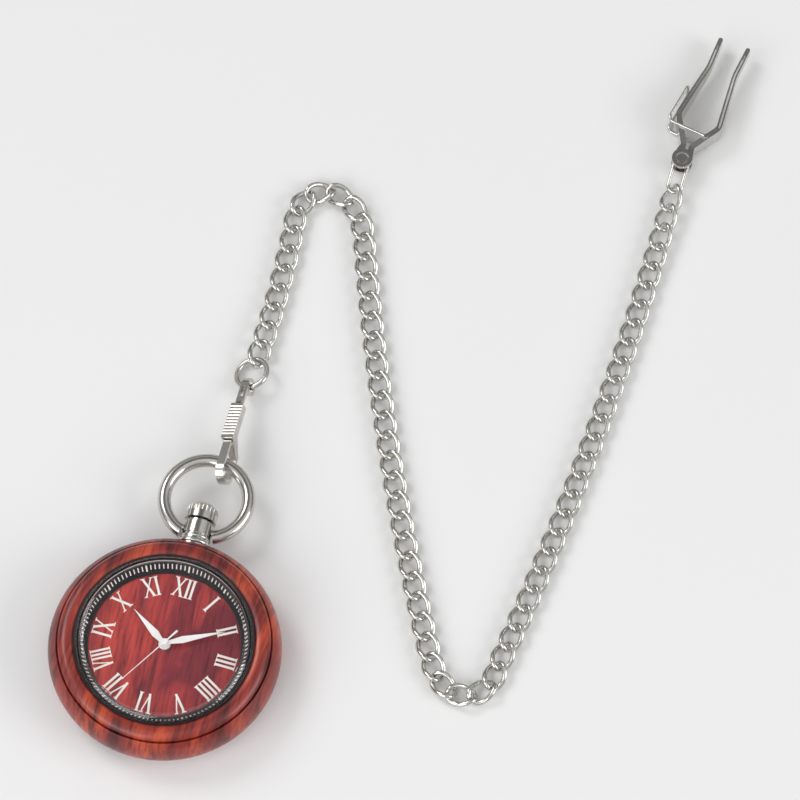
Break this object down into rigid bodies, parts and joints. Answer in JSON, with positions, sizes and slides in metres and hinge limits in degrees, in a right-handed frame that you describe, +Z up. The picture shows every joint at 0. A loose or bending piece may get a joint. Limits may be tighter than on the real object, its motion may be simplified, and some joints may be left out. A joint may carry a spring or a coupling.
{
  "type": "pocket watch with chain",
  "caption": "Wooden pocket watch with a Roman dial under domed glass, hung on a flat curb chain by a sliding snap clasp, with a hinged belt clip and wire bail at the far end.",
  "frame": {"origin": "centre of the watch's flat back, on the surface the watch lies on", "axes": "+Z up through the dial, +Y through the pendant and crown at twelve o'clock, +X towards three o'clock"},
  "size_m": [0.104, 0.1769, 0.0125],
  "materials": {
    "wood": "oiled satin red hardwood",
    "nickel": "polished nickel plate",
    "hands": "polished",
    "glass": "clear domed crystal",
    "black": "satin black",
    "holder": "matte",
    "movement": "brushed",
    "steel": "ground"
  },
  "bodies": {
    "watch": {"case_band": "wood", "front_bezel": "wood", "case_back": "wood", "crystal": "glass", "minute_ring": "black", "dial": "wood", "movement_holder": "holder", "movement": "movement", "battery": "steel", "pendant": "nickel"},
    "hour_hand": {"hour_hand": "hands"},
    "minute_hand": {"minute_hand": "hands"},
    "second_hand": {"second_hand": "hands"},
    "setting_stem": {"stem": "steel"},
    "crown": {"crown": "nickel"},
    "bow": {"bow": "nickel"},
    "clasp": {"clasp_frame": "nickel", "clasp_pin": "nickel", "clasp_spring": "steel"},
    "clasp_slide": {"clasp_slide": "nickel"},
    "jump_ring": {"jump_ring": "nickel"},
    "chain_01": {"chain_01": "nickel"},
    "chain_02": {"chain_02": "nickel"},
    "chain_03": {"chain_03": "nickel"},
    "chain_04": {"chain_04": "nickel"},
    "chain_05": {"chain_05": "nickel"},
    "chain_06": {"chain_06": "nickel"},
    "chain_07": {"chain_07": "nickel"},
    "chain_08": {"chain_08": "nickel"},
    "chain_09": {"chain_09": "nickel"},
    "chain_10": {"chain_10": "nickel"},
    "chain_11": {"chain_11": "nickel"},
    "chain_12": {"chain_12": "nickel"},
    "chain_13": {"chain_13": "nickel"},
    "chain_14": {"chain_14": "nickel"},
    "chain_15": {"chain_15": "nickel"},
    "chain_16": {"chain_16": "nickel"},
    "chain_17": {"chain_17": "nickel"},
    "chain_18": {"chain_18": "nickel"},
    "chain_19": {"chain_19": "nickel"},
    "chain_20": {"chain_20": "nickel"},
    "chain_21": {"chain_21": "nickel"},
    "chain_22": {"chain_22": "nickel"},
    "chain_23": {"chain_23": "nickel"},
    "chain_24": {"chain_24": "nickel"},
    "chain_25": {"chain_25": "nickel"},
    "chain_26": {"chain_26": "nickel"},
    "chain_27": {"chain_27": "nickel"},
    "chain_28": {"chain_28": "nickel"},
    "chain_29": {"chain_29": "nickel"},
    "chain_30": {"chain_30": "nickel"},
    "chain_31": {"chain_31": "nickel"},
    "chain_32": {"chain_32": "nickel"},
    "clip_link": {"clip_link": "nickel"},
    "clip_left": {"clip_arm_left": "nickel", "clip_pin": "nickel"},
    "clip_right": {"clip_arm_right": "nickel"},
    "clip_bail": {"clip_bail": "nickel"}
  },
  "joints": [
    {"name": "minute_turn", "type": "hinge", "parent": "watch", "child": "minute_hand", "pos_m": [0, 0, 0.0075], "axis": [0, 0, -1], "continuous": true},
    {"name": "hour_turn", "type": "hinge", "parent": "watch", "child": "hour_hand", "pos_m": [0, 0, 0.0075], "axis": [0, 0, -1], "continuous": true},
    {"name": "second_turn", "type": "hinge", "parent": "watch", "child": "second_hand", "pos_m": [0, 0, 0.0075], "axis": [0, 0, -1], "continuous": true},
    {"name": "stem_pull", "type": "slide", "parent": "watch", "child": "setting_stem", "axis": [0, 1, 0], "range_m": [0, 0.0008]},
    {"name": "crown_turn", "type": "hinge", "parent": "setting_stem", "child": "crown", "pos_m": [0, 0.0272, 0.0055], "axis": [0, 1, 0], "continuous": true},
    {"name": "bow_swing", "type": "hinge", "parent": "watch", "child": "bow", "pos_m": [0, 0.0253, 0.0055], "axis": [1, 0, 0], "range_deg": [-80, 80]},
    {"name": "clasp_on_bow", "type": "hinge", "parent": "bow", "child": "clasp", "pos_m": [0.00198, 0.03996, 0.0055], "axis": [0.9703, -0.2419, 0], "range_deg": [-50, 50]},
    {"name": "slide_back", "type": "slide", "parent": "clasp", "child": "clasp_slide", "axis": [-0.0051, 0.9763, -0.2164], "range_m": [0, 0.003], "stiffness_N_per_m": 150, "springref_m": -0.006, "deforming": ["clasp_spring"]},
    {"name": "ring_swing", "type": "hinge", "parent": "clasp", "child": "jump_ring", "pos_m": [0.00159, 0.05829, 0.00227], "axis": [0.9264, 0.0553, 0.3726], "range_deg": [-25, 25]},
    {"name": "clip_link_lift", "type": "hinge", "parent": "chain_32", "child": "clip_link", "pos_m": [0.07331, 0.12026, 0.00193], "axis": [-0.9997, 0.0237, 0], "range_deg": [-15, 15]},
    {"name": "clip_swing", "type": "hinge", "parent": "clip_link", "child": "clip_left", "pos_m": [0.07352, 0.12616, 0.00285], "axis": [0, 0, 1], "range_deg": [-30, 30]},
    {"name": "jaw_close", "type": "hinge", "parent": "clip_left", "child": "clip_right", "pos_m": [0.07352, 0.12616, 0.00285], "axis": [0, 0, 1], "range_deg": [0, 9.5]},
    {"name": "bail_swing", "type": "hinge", "parent": "clip_right", "child": "clip_bail", "pos_m": [0.07711, 0.1315, 0.00285], "axis": [0, 0, 1], "range_deg": [0, 50]},
    {"name": "chain_01_lift", "type": "hinge", "parent": "jump_ring", "child": "chain_01", "pos_m": [0.0017, 0.06385, 0.00175], "axis": [0.9981, -0.061, 0], "range_deg": [-12, 22]},
    {"name": "chain_02_sway", "type": "hinge", "parent": "chain_01", "child": "chain_02", "pos_m": [0.00208, 0.07244, 0.00148], "axis": [0, 0, 1], "range_deg": [-18, 8]},
    {"name": "chain_03_lift", "type": "hinge", "parent": "chain_02", "child": "chain_03", "pos_m": [0.00215, 0.08104, 0.00121], "axis": [-1, -0.0087, 0], "range_deg": [-25, 25]},
    {"name": "chain_04_sway", "type": "hinge", "parent": "chain_03", "child": "chain_04", "pos_m": [0.00193, 0.08963, 0.00121], "axis": [0, 0, -1], "range_deg": [-25, 12]},
    {"name": "chain_05_lift", "type": "hinge", "parent": "chain_04", "child": "chain_05", "pos_m": [0.0014, 0.09822, 0.00121], "axis": [0.9877, -0.1564, 0], "range_deg": [-20, 20]},
    {"name": "chain_06_sway", "type": "hinge", "parent": "chain_05", "child": "chain_06", "pos_m": [0.00694, 0.10395, 0.00121], "axis": [0, 0, 1], "range_deg": [-4, 25]},
    {"name": "chain_07_lift", "type": "hinge", "parent": "chain_06", "child": "chain_07", "pos_m": [0.01412, 0.09964, 0.00121], "axis": [0.829, 0.5592, 0], "range_deg": [-20, 20]},
    {"name": "chain_08_sway", "type": "hinge", "parent": "chain_07", "child": "chain_08", "pos_m": [0.01706, 0.09156, 0.00121], "axis": [0, 0, -1], "range_deg": [-25, 12]},
    {"name": "chain_09_lift", "type": "hinge", "parent": "chain_08", "child": "chain_09", "pos_m": [0.01981, 0.08341, 0.00121], "axis": [-0.9455, -0.3256, 0], "range_deg": [-25, 25]},
    {"name": "chain_10_sway", "type": "hinge", "parent": "chain_09", "child": "chain_10", "pos_m": [0.02266, 0.0753, 0.00121], "axis": [0, 0, 1], "range_deg": [-15, 25]},
    {"name": "chain_11_lift", "type": "hinge", "parent": "chain_10", "child": "chain_11", "pos_m": [0.02563, 0.06723, 0.00121], "axis": [0.9361, 0.3518, 0], "range_deg": [-25, 25]},
    {"name": "chain_12_sway", "type": "hinge", "parent": "chain_11", "child": "chain_12", "pos_m": [0.02871, 0.0592, 0.00121], "axis": [0, 0, -1], "range_deg": [-25, 25]},
    {"name": "chain_13_lift", "type": "hinge", "parent": "chain_12", "child": "chain_13", "pos_m": [0.03191, 0.05121, 0.00121], "axis": [-0.9259, -0.3778, 0], "range_deg": [-25, 25]},
    {"name": "chain_14_sway", "type": "hinge", "parent": "chain_13", "child": "chain_14", "pos_m": [0.03521, 0.04328, 0.00121], "axis": [0, 0, 1], "range_deg": [-25, 25]},
    {"name": "chain_15_lift", "type": "hinge", "parent": "chain_14", "child": "chain_15", "pos_m": [0.03863, 0.03538, 0.00121], "axis": [0.915, 0.4035, 0], "range_deg": [-25, 25]},
    {"name": "chain_16_sway", "type": "hinge", "parent": "chain_15", "child": "chain_16", "pos_m": [0.04215, 0.02754, 0.00121], "axis": [0, 0, -1], "range_deg": [-25, 25]},
    {"name": "chain_17_sway", "type": "hinge", "parent": "chain_16", "child": "chain_17", "pos_m": [0.04579, 0.01974, 0.00121], "axis": [0, 0, 1], "range_deg": [-20, 15]},
    {"name": "chain_18_lift", "type": "hinge", "parent": "chain_17", "child": "chain_18", "pos_m": [0.04953, 0.012, 0.00121], "axis": [0.8829, 0.4695, 0], "range_deg": [-25, 25]},
    {"name": "chain_19_sway", "type": "hinge", "parent": "chain_18", "child": "chain_19", "pos_m": [0.05507, 0.00563, 0.00121], "axis": [0, 0, -1], "range_deg": [-2, 25]},
    {"name": "chain_20_lift", "type": "hinge", "parent": "chain_19", "child": "chain_20", "pos_m": [0.06224, 0.00913, 0.00121], "axis": [0.9135, -0.4067, 0], "range_deg": [-12, 12]},
    {"name": "chain_21_sway", "type": "hinge", "parent": "chain_20", "child": "chain_21", "pos_m": [0.06343, 0.01764, 0.00121], "axis": [0, 0, 1], "range_deg": [-25, 25]},
    {"name": "chain_22_lift", "type": "hinge", "parent": "chain_21", "child": "chain_22", "pos_m": [0.06484, 0.02612, 0.00121], "axis": [-0.9874, 0.1582, 0], "range_deg": [-25, 25]},
    {"name": "chain_23_sway", "type": "hinge", "parent": "chain_22", "child": "chain_23", "pos_m": [0.06615, 0.03462, 0.00121], "axis": [0, 0, -1], "range_deg": [-25, 25]},
    {"name": "chain_24_lift", "type": "hinge", "parent": "chain_23", "child": "chain_24", "pos_m": [0.06735, 0.04314, 0.00121], "axis": [0.9911, -0.1333, 0], "range_deg": [-25, 25]},
    {"name": "chain_25_sway", "type": "hinge", "parent": "chain_24", "child": "chain_25", "pos_m": [0.06844, 0.05167, 0.00121], "axis": [0, 0, 1], "range_deg": [-25, 25]},
    {"name": "chain_26_lift", "type": "hinge", "parent": "chain_25", "child": "chain_26", "pos_m": [0.06943, 0.06021, 0.00121], "axis": [-0.9941, 0.1083, 0], "range_deg": [-25, 25]},
    {"name": "chain_27_sway", "type": "hinge", "parent": "chain_26", "child": "chain_27", "pos_m": [0.07031, 0.06876, 0.00121], "axis": [0, 0, -1], "range_deg": [-25, 25]},
    {"name": "chain_28_lift", "type": "hinge", "parent": "chain_27", "child": "chain_28", "pos_m": [0.07108, 0.07733, 0.00121], "axis": [0.9965, -0.0833, 0], "range_deg": [-25, 25]},
    {"name": "chain_29_sway", "type": "hinge", "parent": "chain_28", "child": "chain_29", "pos_m": [0.07174, 0.0859, 0.00121], "axis": [0, 0, 1], "range_deg": [-25, 25]},
    {"name": "chain_30_lift", "type": "hinge", "parent": "chain_29", "child": "chain_30", "pos_m": [0.0723, 0.09449, 0.00121], "axis": [-0.9983, 0.0583, 0], "range_deg": [-25, 25]},
    {"name": "chain_31_sway", "type": "hinge", "parent": "chain_30", "child": "chain_31", "pos_m": [0.07274, 0.10307, 0.0013], "axis": [0, 0, -1], "range_deg": [-18, 6]},
    {"name": "chain_32_lift", "type": "hinge", "parent": "chain_31", "child": "chain_32", "pos_m": [0.07308, 0.11167, 0.00166], "axis": [0.9995, -0.0332, 0], "range_deg": [-8, 12]}
  ],
  "couplings": [
    {"joint": "hour_turn", "follows": "minute_turn", "ratio": 0.083333}
  ]
}
